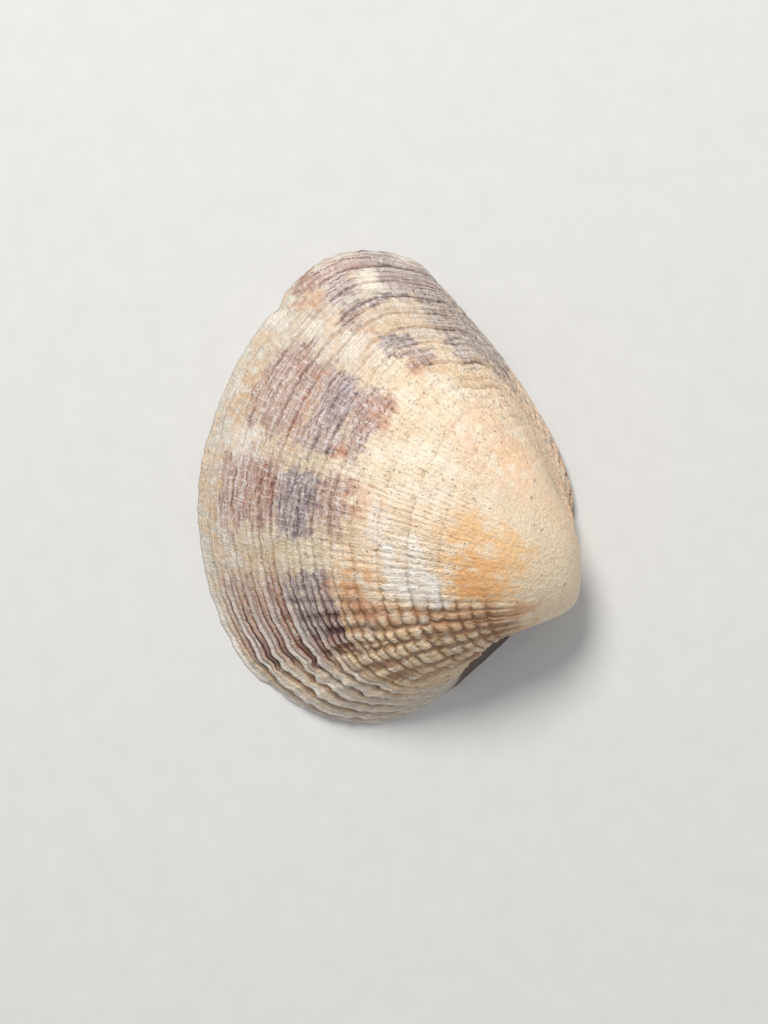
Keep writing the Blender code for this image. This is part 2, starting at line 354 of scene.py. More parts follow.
def wave(places, rows, across, down, seed):
    """Smooth noise over the growth grid, closed round the valve."""
    result = np.zeros(np.broadcast(places, rows).shape)
    places = np.broadcast_to(places, result.shape)
    rows = np.broadcast_to(rows, result.shape)
    turn = places * math.tau
    spot = np.stack([np.cos(turn) * across, np.sin(turn) * across, rows * down + seed * SEED_STEP])
    flat = spot.reshape(3, -1).T
    values = [noise.noise(Vector(p)) for p in flat.tolist()]
    return np.array(values).reshape(result.shape)


def layered_noise(spots, shape):
    """Noise in three layers at each of the spots, in an array of the shape."""
    values = [noise.fractal(Vector(p), 0.9, 2.0, 3) for p in spots.tolist()]
    return np.array(values).reshape(shape)


def ripple(number, ridge, across, down, seed):
    """Layered noise that follows the ribs and the ridges."""
    shape = np.broadcast(number, ridge).shape
    spot = np.stack([np.broadcast_to(number * across, shape), np.broadcast_to(ridge * down, shape),
                     np.full(shape, seed * SEED_STEP)])
    return layered_noise(spot.reshape(3, -1).T, shape)


def mist(points, scale, seed):
    """Layered noise through the space round the valve, as many times a millimetre as the scale."""
    return layered_noise(points.reshape(-1, 3) * scale + seed * SEED_STEP, points.shape[:2])


def window(value, low, high, soft):
    """1 between low and high, 0 outside, with edges no wider than the window allows."""
    soft = min(soft, 0.35 * (high - low))
    return smooth_step(low - soft, low + soft, value) * (1 - smooth_step(high - soft, high + soft, value))


def paint_shell(places, number, row, ridge, points):
    """Colours of the outer face at its points, and how much of a dark ray lies there."""
    # Paint ends on ribs and ridges, so each of them moves its edge a little
    luck = np.random.default_rng(PAINT_SEED).random((2, LUCK_SIZE)) - 0.5
    own_ridge = luck[0, np.clip(np.floor(ridge), 0, LUCK_SIZE - 1).astype(int)]
    own_rib = luck[1, np.floor(number).astype(int)]
    run = (number - number.mean()) * row
    ragged = ripple(run, ridge, 1.1, 0.9, 1)
    side = places + own_ridge * 0.007 + ragged * 0.008
    level = row + own_rib * 0.012 + ragged * 0.010
    wide = ripple(run, ridge, 0.22, 0.40, 3)
    dissolve = ripple(number, ridge, 1.6, 2.2, 2) * 0.42 + wide * 0.45
    mottled = mist(points, 1.3, 7) * 0.65 + mist(points, 0.5, 8) * 0.5
    streak = smooth_step(-0.35, 0.30, ripple(number, ridge, 0.35, 2.4, 4))
    patchy = ripple(run, ridge, 0.5, 0.5, 5)

    colour = np.empty(side.shape + (3,))
    colour[...] = TONES["cream"][:3]

    def lay(name, share):
        nonlocal colour
        colour = colour + (np.array(TONES[name][:3]) - colour) * np.clip(share, 0, 1)[..., None]

    lay("off_white", smooth_step(0.64, 0.78, level))
    lay("margin", smooth_step(0.80, 0.95, level) * 0.85)
    lay("beak", 1 - smooth_step(0.24, 0.40, level))
    past_beak = smooth_step(0.30, 0.42, level)
    lay("pale", smooth_step(0.05, 0.40, patchy) * past_beak * 0.42)
    lay("sand", smooth_step(0.05, 0.40, -patchy) * past_beak * 0.50)
    ray = np.zeros(side.shape)
    for name, strength, (left, right), (low, high) in PAINT:
        soft = STAIN_SOFT if name in STAIN_TONES else RAY_SOFT
        spread = window(side, left, right, PLACE_SOFT * soft) * window(level, low, high, GROWTH_SOFT * soft)
        if name in STAIN_TONES:
            lay(name, smooth_step(0.08, 1.15, spread * (1 + 1.9 * mottled)) * strength)
        else:
            share = smooth_step(0.28, 0.75, spread + dissolve * smooth_step(0, 0.25, spread)) * strength
            lay(name, share * (0.55 + 0.45 * streak))
            ray = np.maximum(ray, share * (name in RAY_TONES))
    return colour, ray


def rib_grid():
    """Places of the columns round the valve, and the number of the rib each stands on."""
    width_at, width = zip(*RIB_WIDTHS)
    edges = [0.0]
    while edges[-1] < 1:
        edges.append(edges[-1] + float(np.interp(edges[-1], width_at, width)))
    edges = np.array(edges) / edges[-1]
    places, numbers = [], []
    for number, (left, right) in enumerate(zip(edges[:-1], edges[1:])):
        count = max(RIB_COLUMNS, round((right - left) / COLUMN_WIDTH))
        for j in range(count):
            places.append(left + (right - left) * j / count)
            numbers.append(number + j / count)
    return np.array(places), np.array(numbers)


def line_grid():
    """Growth of each row down the outer face, its height on its ridge, and its ridge."""
    lines = [1.0] + list(GROWTH_LINES)
    growth = list(np.linspace(0, 1, BEAK_ROWS + 1)[1:-1] ** 1.15 * GROWTH_LINES[-1])
    height = [1.0] * len(growth)
    ridge = [len(lines) - 1 + (lines[-1] - g) / BEAK_LINE for g in growth]
    for k in range(len(lines) - 1, 0, -1):
        inner, outer = lines[k], lines[k - 1]
        for share, rise in RIDGE_ROWS:
            growth.append(inner + (outer - inner) * share)
            height.append(rise)
            ridge.append(k - share)
    return (np.array(growth + [1.0])[:, None], np.array(height + [1.0])[:, None],
            np.array(ridge + [0.0])[:, None])


def margin_wear(places):
    """How far the margin lies inside its plain outline, in millimetres."""
    # The chipped front edge, two notches, the flat middle of the long edge, and a fine unevenness
    chip = 0.42 * smooth_step(0.150, 0.200, places) * (1 - smooth_step(0.256, 0.262, places))
    notch = 0.30 * bump(0.574, 0.006, places) + 0.25 * bump(0.722, 0.012, places)
    ventral = 0.16 * plateau((0.44, 0.48, 0.56, 0.60), places)
    fine = 0.12 * wave(places, np.array(0.0), 14, 1, 3) + 0.10 * wave(places, np.array(0.0), 45, 1, 4)
    return EVEN_WEAR + chip + notch + ventral + fine + BACK_TUCK * plateau(BACK_SPAN, places)


class OuterZones:
    """How much each point of the outer face belongs to each of its zones."""

    def __init__(self, places, row):
        bead_end = 0.60 + 0.95 * np.clip(places - 0.14, 0, 0.2)
        past_beads = smooth_step(bead_end, bead_end + 0.08, row)
        self.back_slope = plateau(BACK_SPAN, places)
        self.front = plateau(FRONT_SPAN, places)
        self.rear = smooth_step(*REAR_FROM, places)
        self.middle = (1 - self.front) * (1 - self.rear)
        self.layered = plateau(LAYERED_SPAN, places) * past_beads
        self.beads = self.front * smooth_step(0.25, 0.40, row) * (1 - past_beads)
        self.fine_beads = plateau(FINE_BEAD_SPAN, places) * plateau(FINE_BEAD_GROWTH, row)
        self.pits = plateau(PIT_SPAN, places) * plateau(PIT_GROWTH, row)
        lunule = smooth_step(LUNULE_EDGE - 0.012, LUNULE_EDGE, places - LUNULE_BEND * (1 - row) ** 2)
        self.lunule = (1 - lunule) * smooth_step(0.0, 0.018, places) * smooth_step(0.34, 0.46, row)


def line_wander(places, row, ridge, line, zones):
    """How far each growth line strays from its even course, as a share of growth."""
    own = 1 - zones.layered
    broken = 0.0032 + 0.005 * zones.front * (1 - smooth_step(0.60, 0.70, row))
    stray = wave(places, line * 0.37, 9, 1, 1) * 0.0030 * own
    stray = stray + wave(places, line * 0.61, 34, 1, 2) * broken * own
    stray = stray + wave(places, line * 0.83, 90, 1, 8) * 0.0022 * own
    stray = stray + wave(places, ridge * 0.22, 17, 1, 14) * 0.018 * zones.layered
    return stray * smooth_step(0.30, 0.50, row) * (1 - smooth_step(0.975, 1.0, row))


def surface_normals(points):
    """Outward direction at each point, and the distance from each ridge to the next."""
    along = np.roll(points, -1, axis=1) - np.roll(points, 1, axis=1)
    across = np.gradient(points, axis=0)
    normal = np.cross(along, across)
    spread = np.linalg.norm(normal, axis=2, keepdims=True)
    ridge_gap = spread[..., 0] / np.linalg.norm(along, axis=2) * len(RIDGE_ROWS)
    return normal / spread, ridge_gap


def groove_depths(places, row, line, zones, cell, line_luck):
    """Depth of the grooves between the ridges, and between the ribs, in millimetres."""
    even = zones.middle * (0.3 + 1.2 * line_luck)
    fading = np.clip(0.9 + 1.6 * wave(places, line * 0.77, 7, 1, 13), 0.15, 1.7)
    pair = np.where(line % 2 == 0, 1.0, WEAK_LINE)
    depth = (RIDGE_DEPTH * smooth_step(0.64, 0.76, row) + 0.026 * smooth_step(0.42, 0.5, row)) * even
    depth = depth * fading * pair + 0.04 * zones.pits * fading
    double = (1 - smooth_step(0.24, 0.28, places)) * smooth_step(0.40, 0.46, row)
    beaded = zones.front * smooth_step(0.28, 0.42, row) * (0.55 + 0.7 * cell[0])
    depth = depth + BEAD_DEPTH * beaded * (1 - double * (1 - pair))
    depth = depth + FINE_BEAD_DEPTH * zones.fine_beads * pair
    depth = depth + zones.rear * (0.03 + 0.07 * smooth_step(0.45, 0.75, row)) * (0.3 + line_luck)
    depth = depth * (1 - 0.8 * zones.layered)

    uneven = (0.015 + 0.10 * cell[0] ** 2) * (1 - 0.5 * smooth_step(0.39, 0.46, places))
    faint = 0.020 * zones.pits + 0.014 * smooth_step(0.42, 0.6, row)
    rib_depth = (BEAD_DEPTH * zones.beads + uneven * zones.fine_beads + faint) * (0.6 + 0.7 * cell[1])
    return depth, rib_depth * (1 - zones.layered)


def large_forms(places, row, zones):
    """Height of the swollen back slope, and of the fills and the nip round the beak."""
    bulge = BACK_BULGE * zones.back_slope * smooth_step(0.0, 0.22, 1 - row) * smooth_step(0.1, 0.5, row)
    swell = BEAK_SWELL * bump(0.28, 0.14, places) * bump(0.12, 0.09, row)
    nip = BEAK_NIP * bump(0.16, 0.07, places) * bump(0.34, 0.10, row)
    behind = BEHIND_BEAK * bump(0.91, 0.06, places) * bump(0.40, 0.16, row)
    return bulge + swell - nip + behind


def outer_face(places, number):
    """Rows of the outer face from the beak to the margin, with the darkness of their grooves."""
    loop = smooth_loop(MARGIN, places)
    row, rise, ridge = line_grid()
    line = np.round(ridge + 0.1)
    zones = OuterZones(places, row)
    front, layered = zones.front, zones.layered
    growth = 1 - (1 - row) ** (1 + BACK_SPREAD * zones.back_slope)
    growth = growth + line_wander(places, row, ridge, line, zones)
    points = grow(loop, growth, np.array(POLE), POLE_HEIGHT, BLUNT)
    normal, ridge_gap = surface_normals(points)
    crowd = smooth_step(0.04, 0.28, ridge_gap)

    # Each profile is 1 on the crest of a rib, ridge or layer and 0 between two of them
    rib = np.sin(math.pi * np.mod(number + 0.5 * front * wave(places, row, 26, 9, 12), 1))
    rib = rib ** (0.5 + 0.4 * front)
    rise = rise * (1 - front) + np.sin(math.pi * np.mod(-ridge, 1)) ** 0.8 * front
    layer = np.mod(-ridge / LAYER_RIDGES, 1)

    # Chance: two values for each bead where a rib crosses a ridge, and one for each line
    luck = np.random.default_rng(BEAD_SEED).random((2, LUCK_SIZE, LUCK_SIZE // 2))
    last = LUCK_SIZE // 2 - 1
    cell = luck[:, number.astype(int)[None, :], np.clip(np.floor(ridge), 0, last).astype(int)]
    line_luck = luck[0, LINE_LUCK_ROW, np.clip(line, 0, last).astype(int)]

    depth, rib_depth = groove_depths(places, row, line, zones, cell, line_luck)
    pit_depth = PIT_DEPTH * zones.pits * (cell[1] > PITTED_SHARE) * (1 - rib) * (1 - rise)
    stepped = STEP_DEPTH * zones.rear * smooth_step(0.42, 0.60, row) * (0.5 + line_luck)
    shingle = (LAYER_DEPTH * layered + stepped) * (1 - layer) ** 2.5
    shingle = shingle * smooth_step(0.04, 0.28, ridge_gap * LAYER_RIDGES)
    sunk = (depth * (1 - rise) + rib_depth * (1 - rib) + pit_depth) * crowd + shingle
    sunk = sunk + 0.12 * zones.beads * (cell[1] - 0.5) * rib * rise * crowd
    rough = 0.05 * wave(places, row, 10, 12, 6) + 0.035 * wave(places, row, 28, 34, 7)
    rough = rough * smooth_step(0.15, 0.45, row) + 0.20 * layered * wave(places, row, 22, 9, 9)

    above = points[..., 2]
    raised = (rough * crowd - sunk) * (1 - 0.85 * zones.lunule)
    raised = raised - LUNULE_DEPTH * zones.lunule * smooth_step(0.3, 3.0, above)
    raised = raised * (1 - smooth_step(0.985, 1.0, row))
    points = points + (raised + large_forms(places, row, zones))[..., None] * normal
    points[..., 2] = np.maximum(points[..., 2], above / 2)

    # Scallops and wear draw the edge inwards along the floor
    arm = np.array(RIM_CENTRE) - loop
    arm = arm / np.linalg.norm(arm, axis=1, keepdims=True)
    scallop = SCALLOP * (1 - np.sin(math.pi * layer) ** 0.6) * smooth_step(0.3, 0.5, row)
    scallop = scallop + RIB_SCALLOP * (1 - rib) * smooth_step(0.55, 0.75, row)
    scallop = scallop * zones.back_slope * (1 - smooth_step(0.97, 1.0, row))
    worn = margin_wear(places) * smooth_step(0.93, 1.0, row) + scallop
    points[..., :2] = points[..., :2] + worn[..., None] * arm

    # How dark each groove, pit and gap between ribs is painted in the shader: partly dirt, partly painted
    # shade
    groove = depth * (1 - rise) ** 1.8 * (1 - front * (1 - smooth_step(0.12, 0.40, ridge_gap)))
    groove = groove + pit_depth * 0.7 + rib_depth * (1 - rib) ** 1.5 * (0.35 + 0.65 * front)
    groove = np.clip((groove * crowd + shingle * (1 - layer) ** 3.5) / GROOVE_DEPTH, 0, 1)
    groove = groove * (1 - zones.lunule) * (1 - 0.5 * zones.fine_beads * (1 - front))
    groove = groove * (1 - 0.65 * bump(0.175, 0.04, places) * bump(0.63, 0.05, row))
    return points, row, ridge, groove, zones.lunule


def teeth_and_sockets(x, y):
    """How much of the hinge plate's height a tooth fills (+) or a socket opens (-)."""
    total = np.zeros_like(x)
    for (x0, y0), heading, length, width, size in TEETH:
        turn = math.radians(heading)
        run = (x - x0) * math.cos(turn) + (y - y0) * math.sin(turn)
        off = np.abs((y - y0) * math.cos(turn) - (x - x0) * math.sin(turn))
        ends = smooth_step(-0.35, 0.25, run) * (1 - smooth_step(length - 0.5, length + 0.1, run))
        total = total + size * ends * (1 - smooth_step(width * 0.22, width * 0.62, off))
    return np.clip(total, -0.5, 1)


def inner_face(places):
    """Rows of the rim, the hinge plate and the hollow, from the margin to the deepest row."""
    loop = smooth_loop(MARGIN, places)
    arm = np.array(RIM_CENTRE) - loop
    arm = arm / np.linalg.norm(arm, axis=1, keepdims=True)
    worn = margin_wear(places)[:, None]

    def inset(width):
        return loop + arm * width

    near_beak = bump(0, PLATE_SPREAD, np.linalg.norm(loop - np.array(POLE), axis=1))
    height = LIP_HEIGHT + (PLATE_HEIGHT - LIP_HEIGHT) * near_beak**PLATE_RISE
    foot = inset(FOOT_INSET) + arm * worn * 0.8
    mouth = inset((MOUTH_INSET + PLATE_INSET * near_beak)[:, None])
    flat = np.zeros(len(places))
    rows = [np.column_stack([inset(RIM_WIDTH * 0.5) + arm * worn, flat]),
            np.column_stack([inset(RIM_WIDTH) + arm * worn, flat]),
            np.column_stack([(inset(RIM_WIDTH) + arm * worn + foot) / 2, flat + PLATE_FOOT * 0.6]),
            np.column_stack([foot, flat + PLATE_FOOT])]
    for share in np.linspace(0, 1, PLATE_ROWS + 1)[1:]:
        spot = foot + (mouth - foot) * share
        level = PLATE_FOOT + (height - PLATE_FOOT) * share
        tooth = teeth_and_sockets(spot[:, 0], spot[:, 1])
        level = level - tooth * np.where(tooth > 0, level - 0.2, 0.9)
        rows.append(np.column_stack([spot, level]))
    to_front = np.array([math.sin(HINGE_TURN), -math.cos(HINGE_TURN)])
    pole = np.array(POLE) + HOLLOW_DROP * to_front
    growth = (1 - np.linspace(0, 1, HOLLOW_ROWS + 2)[1:-1] ** 1.15)[:, None]
    growth = growth + 0 * places
    hollow = grow(mouth, growth, pole, HOLLOW_POLE_HEIGHT, HOLLOW_BLUNT)
    hollow[..., 2] = hollow[..., 2] * HOLLOW_HEIGHT + height * growth**LIP_FADE
    return np.concatenate([np.array(rows), hollow])


class NodeBench:
    """Adds the nodes of one material, and wires them to the surface."""

    def __init__(self, name):
        self.material = bpy.data.materials.new(name)
        self.material.use_nodes = True
        self.tree = self.material.node_tree
        self.surface = self.tree.nodes["Principled BSDF"]

    def add(self, kind, settings=None, inputs=None, output=0):
        """One node: its settings first, then the values or links of its sockets."""
        node = self.tree.nodes.new(kind)
        for name, value in (settings or {}).items():
            if name == "stops":
                ramp = node.color_ramp.elements
                while len(ramp) < len(value):
                    ramp.new(0.5)
                for stop, (place, colour) in zip(ramp, value):
                    stop.position = place
                    stop.color = colour
            else:
                setattr(node, name, value)
        for name, value in (inputs or {}).items():
            self.plug(value, node.inputs[name])
        return Wire(self, node.outputs[output])

    def plug(self, value, socket):
        """A link from a wire, or a plain value."""
        if isinstance(value, Wire):
            self.tree.links.new(value.socket, socket)
        else:
            socket.default_value = value

    def pair(self, name):
        """The two values of a named map."""
        split = self.add("ShaderNodeSeparateXYZ", {}, {0: self.add("ShaderNodeUVMap", {"uv_map": name})})
        node = split.socket.node
        return Wire(self, node.outputs[0]), Wire(self, node.outputs[1])

    def attribute(self, name):
        """The number that a named attribute holds at each point."""
        return self.add("ShaderNodeAttribute", {"attribute_name": name}, output=2)

    def math(self, operation, *values):
        """One Math node on numbers or wires."""
        return self.add("ShaderNodeMath", {"operation": operation}, dict(enumerate(values)))

    def mix(self, share, under, over, blend="MIX"):
        """A colour over another by a share."""
        return self.add("ShaderNodeMix", {"data_type": "RGBA", "blend_type": blend},
                        {0: share, 6: under, 7: over}, 2)

    def finish(self, **sockets):
        """The material, once its surface has these values or wires."""
        for name, value in sockets.items():
            self.plug(value, self.surface.inputs[name.replace("_", " ")])
        return self.material


class Wire:
    """A node's output; arithmetic on it adds Math nodes."""

    def __init__(self, bench, socket):
        self.bench, self.socket = bench, socket

    def __add__(self, other):
        return self.bench.math("ADD", self, other)

    def __sub__(self, other):
        return self.bench.math("SUBTRACT", self, other)

    def __rsub__(self, other):
        return self.bench.math("SUBTRACT", other, self)

    def __mul__(self, other):
        return self.bench.math("MULTIPLY", self, other)

    __radd__, __rmul__ = __add__, __mul__

    def __abs__(self):
        return self.bench.math("ABSOLUTE", self)

    def top(self, other):
        """The higher of two values."""
        return self.bench.math("MAXIMUM", self, other)

    def rise(self, low, high, start=0.0, end=1.0):
        """A smooth change from start to end as the value goes from low to high."""
        return self.bench.add("ShaderNodeMapRange", {"interpolation_type": "SMOOTHSTEP"},
                              {0: self, 1: low, 2: high, 3: start, 4: end})


def linear(picked):
    """A colour given in screen values, in the shader's linear values."""
    return tuple(c / 12.92 if c <= 0.04045 else ((c + 0.055) / 1.055) ** 2.4 for c in picked) + (1.0,)


TONES = {name: linear(picked) for name, picked in TONES.items()}


def grain(bench, vector, scale, detail=2.0, rough=0.6):
    """Noise around 0, mostly from -0.25 to 0.25."""
    value = bench.add("ShaderNodeTexNoise", {"noise_dimensions": "3D"},
                      {"Vector": vector, "Scale": scale, "Detail": detail, "Roughness": rough})
    return value - 0.5


def band(value, low, high, soft):
    """1 between low and high, 0 outside."""
    return value.rise(low - soft, low + soft) * value.rise(high - soft, high + soft, 1.0, 0.0)


def outer_shell():
    """Worn painted shell: dirt and painted shade in the grooves, crests paler with wear and painted
    highlight, pits, flakes and fine grain.
    """
    bench = NodeBench("outer_shell")
    place, growth = bench.pair("growth")
    rib, ridge = bench.pair("lattice")
    groove = bench.attribute("groove")
    lunule = bench.attribute("lunule")
    ray = bench.attribute("ray")
    spot = bench.add("ShaderNodeTexCoord", output=3)

    def lattice(across, down, seed):
        """A vector for noise that follows the ribs and ridges."""
        return bench.add("ShaderNodeCombineXYZ", {}, {0: rib * across, 1: ridge * down, 2: seed})

    mottle = grain(bench, spot, 260.0, 4.0)
    patchy = grain(bench, lattice(0.5, 0.5, 14.0), 1.0, 3.0)
    streak = grain(bench, lattice(0.35, 2.4, 9.0), 1.0, 3.0)
    around = bench.add("ShaderNodeCombineXYZ", {}, {0: place * 380.0, 1: ridge * 0.9, 2: 5.0})
    radial = grain(bench, around, 1.0, 2.0)
    banded = grain(bench, lattice(0.45, 2.6, 7.0), 1.0, 2.5)
    mark = grain(bench, lattice(1.3, 2.3, 21.0), 1.0, 2.5)
    fine = grain(bench, spot, 4200.0, 2.0)
    cord = abs(bench.math("FRACT", rib + patchy * 0.3) - 0.5)
    past_beak = growth.rise(0.34, 0.50)

    colour = bench.add("ShaderNodeAttribute", {"attribute_name": "paint"})
    thin = abs(bench.math("FRACT", ridge * 2.0 + radial * 0.5 + patchy * 0.8) - 0.5)
    front = place.rise(0.28, 0.38, 1.0, 0.0)
    thin_line = thin.rise(0.0, 0.14, 1.0, 0.0) * streak.rise(-0.12, 0.12) * growth.rise(0.50, 0.66)
    thin_line = thin_line * (1.0 - front * 0.85)
    # Grooves, pits and rib gaps are painted darker, most in front and in the rays: partly dirt and stain,
    # partly painted shade
    dirt_and_shade = bench.mix(ray, bench.mix(front, TONES["dirt_and_shade"], TONES["ochre"]), TONES["plum"])
    deep = groove.rise(0.08, 0.80) * (0.45 + ray * 0.33 + front * 0.22)
    colour = bench.mix(deep, colour, dirt_and_shade)
    colour = bench.mix(thin_line * (growth.rise(0.80, 0.90, 0.08, 0.24) + ray * 0.42), colour, dirt_and_shade)
    colour = bench.mix(banded.rise(-0.02, -0.14) * ray * 0.62, colour, TONES["plum"])
    # Crests are whitened: partly pale worn shell, partly painted highlight where light catches them
    crest = groove.rise(0.0, 0.35, 1.0, 0.0)
    frosty = (radial.rise(0.05, 0.17) * 0.6).top(banded.rise(0.03, 0.15))
    colour = bench.mix(frosty * crest * ray * 0.70, colour, TONES["frost"])
    # Ribs in the rays: darker at their edges and whiter on their middles, partly rib colour, partly painted
    # shade and highlight
    corded = band(growth, 0.48, 0.95, 0.06) * place.rise(0.36, 0.44) * streak.rise(-0.2, 0.1)
    colour = bench.mix(cord.rise(0.36, 0.48) * corded * 0.07, colour, dirt_and_shade)
    colour = bench.mix(cord.rise(0.02, 0.16, 1.0, 0.0) * corded * 0.17, colour, TONES["white"])
    colour = bench.mix(radial.rise(0.05, 0.17) * crest * past_beak * 0.35, colour, TONES["white"])
    colour = bench.mix(front * crest * growth.rise(0.40, 0.85, 0.0, 0.36), colour, TONES["cream"])
    # The lips of the layers in front, three ridges to a layer, whitened partly as worn edges and partly as
    # painted highlight
    lip = bench.math("FRACT", ridge * -0.33333).rise(0.40, 0.92) * growth.rise(0.70, 0.80)
    colour = bench.mix(lip * front * 0.62, colour, TONES["white"])
    middle = band(growth, 0.40, 0.74, 0.05) * place.rise(0.30, 0.40)
    dashes = mark.rise(0.13, 0.21) * middle
    flakes = mark.rise(-0.18, -0.09, 1.0, 0.0) * past_beak
    colour = bench.mix(dashes * 0.24, colour, TONES["pit"])
    colour = bench.mix(flakes * 0.50, colour, TONES["white"])
    specks = grain(bench, spot, 1500.0, 1.0).rise(0.21, 0.32)
    colour = bench.mix(specks * 0.40, colour, TONES["pit"])
    # The sunken field before the beak: its own brown, darkened further as painted shade, with paler streaks
    lunule_brown_and_shade = bench.mix(streak.rise(-0.12, 0.12), TONES["lunule"], TONES["lunule_pale"])
    colour = bench.mix(lunule * 0.92, colour, lunule_brown_and_shade)
    light = 1.0 + fine * 0.60 + mottle * 0.25 + streak * past_beak * 0.18
    colour = bench.mix(1.0, colour, bench.add("ShaderNodeCombineColor", {}, {0: light, 1: light, 2: light}),
                       "MULTIPLY")

    chalk = grain(bench, spot, 1500.0) * 0.8
    height = radial * 0.65 * past_beak + fine * 0.6 + chalk + flakes * 0.35
    height = height - thin_line * 0.30 - dashes * 0.7 + banded * 0.5 * past_beak - specks * 0.8
    bumps = bench.add("ShaderNodeBump", {}, {"Strength": 1.0, "Distance": 0.00015, "Height": height})
    polish = band(growth, 0.44, 0.58, 0.02) * band(place, 0.32, 0.42, 0.02) * crest
    rough = 0.56 + fine * 0.3 - polish * 0.30
    return bench.finish(Base_Color=colour, Roughness=rough, Normal=bumps)


def oval(bench, spot, centre, radii, turn):
    """0 at the centre of a turned oval seen from below, 1 on its edge and more outside."""
    split = bench.add("ShaderNodeSeparateXYZ", {}, {0: spot}).socket.node
    x = Wire(bench, split.outputs[0]) - centre[0] * MM
    y = Wire(bench, split.outputs[1]) - centre[1] * MM
    cos, sin = math.cos(math.radians(turn)), math.sin(math.radians(turn))
    run = (x * cos + y * sin) * (1 / (radii[0] * MM))
    off = (y * cos - x * sin) * (1 / (radii[1] * MM))
    return bench.math("SQRT", run * run + off * off)


def inner_shell():
    """Glossy pale inside: two muscle scars, and the mantle line with its pocket."""
    bench = NodeBench("inner_shell")
    place, depth = bench.pair("growth")
    spot = bench.add("ShaderNodeTexCoord", output=3)
    cloud = grain(bench, spot, 110.0, 3.0)
    wobble = cloud * 0.45
    front_scar = oval(bench, spot, *FRONT_SCAR) + wobble
    rear_scar = oval(bench, spot, *REAR_SCAR) + wobble
    pocket = oval(bench, spot, *POCKET) + wobble
    scar = front_scar.rise(0.78, 1.04, 1.0, 0.0).top(rear_scar.rise(0.78, 1.04, 1.0, 0.0))
    ring = band(front_scar, 0.97, 1.05, 0.08).top(band(rear_scar, 0.97, 1.05, 0.08))
    mantle = depth + cloud * 0.02
    line = band(mantle, MANTLE_LINE, MANTLE_LINE + 0.012, 0.014) * pocket.rise(0.95, 1.05)
    line = line * band(place, 0.19, 0.66, 0.01)
    bay = band(pocket, 0.95, 1.05, 0.06) * mantle.rise(MANTLE_LINE, MANTLE_LINE + 0.02)
    mark = ring.top(line).top(bay) * (1.0 - scar * 0.6)
    deep = mantle.rise(MANTLE_LINE, MANTLE_LINE + 0.04)

    colour = bench.mix(deep, TONES["porcelain"], TONES["inner_white"])
    colour = bench.mix(mantle.rise(1.60, 1.95) * 0.55, colour, TONES["peach"])
    colour = bench.mix(cloud.rise(-0.05, 0.25) * 0.35, colour, TONES["inner_cream"])
    colour = bench.mix(band(place, 0.56, 0.74, 0.05) * mantle.rise(1.10, 1.55, 0.55, 0.0), colour,
                       TONES["lavender"])
    colour = bench.mix(scar * 0.42, colour, TONES["sand"])
    colour = bench.mix(mark * 0.20, colour, TONES["tan"])
    growth_ring = grain(bench, bench.add("ShaderNodeCombineXYZ", {}, {0: place * 3.0, 1: depth * 60.0}), 1.0)
    height = growth_ring * 0.5 - mark * 0.45 - scar * 0.4 + cloud * 0.8
    bumps = bench.add("ShaderNodeBump", {}, {"Strength": 1.0, "Distance": 0.00010, "Height": height})
    rough = depth.rise(1.0, 1.12, 0.5, 0.24) + cloud * 0.1
    return bench.finish(Base_Color=colour, Roughness=rough, Normal=bumps)


def mesh_object(name, bm):
    """A named object in the scene that takes over the bmesh."""
    mesh = bpy.data.meshes.new(name)
    bm.to_mesh(mesh)
    bm.free()
    made = bpy.data.objects.new(name, mesh)
    bpy.context.scene.collection.objects.link(made)
    return made


def ringed_ball(name, rings, columns):
    """A sphere with so many rings between its poles, and the ring and column of its points."""
    bm = bmesh.new()
    bmesh.ops.create_uvsphere(bm, u_segments=columns, v_segments=rings + 1, radius=1)
    ball = mesh_object(name, bm)
    spots = np.zeros(len(ball.data.vertices) * 3)
    ball.data.vertices.foreach_get("co", spots)
    x, y, z = spots.reshape(-1, 3).T
    ring = np.rint(np.arccos(np.clip(z, -1, 1)) / math.pi * (rings + 1)).astype(int)
    column = np.rint(-np.arctan2(y, x) / math.tau * columns).astype(int) % columns
    return ball, ring, column


def store_paint(mesh, fields, paint, inner_rows, at, on_pole):
    """Keeps the colour and the other fields of the outer face as attributes of the points."""
    blank = np.zeros((inner_rows, paint.shape[1]))
    for name, field in fields.items():
        values = np.concatenate([field, blank])[at]
        values[on_pole] = 0
        mesh.attributes.new(name, "FLOAT", "POINT").data.foreach_set("value", values)
    tints = np.ones((len(on_pole), 4))
    tints[:, :3] = np.concatenate([paint, np.ones((inner_rows,) + paint.shape[1:])])[at]
    tints[on_pole, :3] = TONES["beak"][:3]
    mesh.attributes.new("paint", "FLOAT_COLOR", "POINT").data.foreach_set("color", tints.ravel())


def store_maps(mesh, round_maps, ring, column, poles):
    """Keeps the maps round the valve, closed at their seam, and gives the least growth of each face."""
    corner = np.zeros(len(mesh.loops), dtype=int)
    mesh.loops.foreach_get("vertex_index", corner)
    start = np.zeros(len(mesh.polygons), dtype=int)
    total = np.zeros(len(mesh.polygons), dtype=int)
    mesh.polygons.foreach_get("loop_start", start)
    mesh.polygons.foreach_get("loop_total", total)
    face = np.repeat(np.arange(len(start)), total)
    is_pole = (ring[corner] == poles[0]) | (ring[corner] == poles[1])
    for name, (round_at, whole, down) in round_maps.items():
        across = round_at[column[corner]]
        highest = np.zeros(len(start))
        np.maximum.at(highest, face[~is_pole], across[~is_pole])
        across = across + whole * ((highest[face] > 0.7 * whole) & (across < 0.3 * whole) & ~is_pole)
        across[is_pole] = highest[face[is_pole]]
        values = np.column_stack([across, down[corner]])
        mesh.uv_layers.new(name=name).data.foreach_set("uv", values.ravel())
    least = np.full(len(start), np.inf)
    np.minimum.at(least, face, round_maps["growth"][2][corner])
    return least


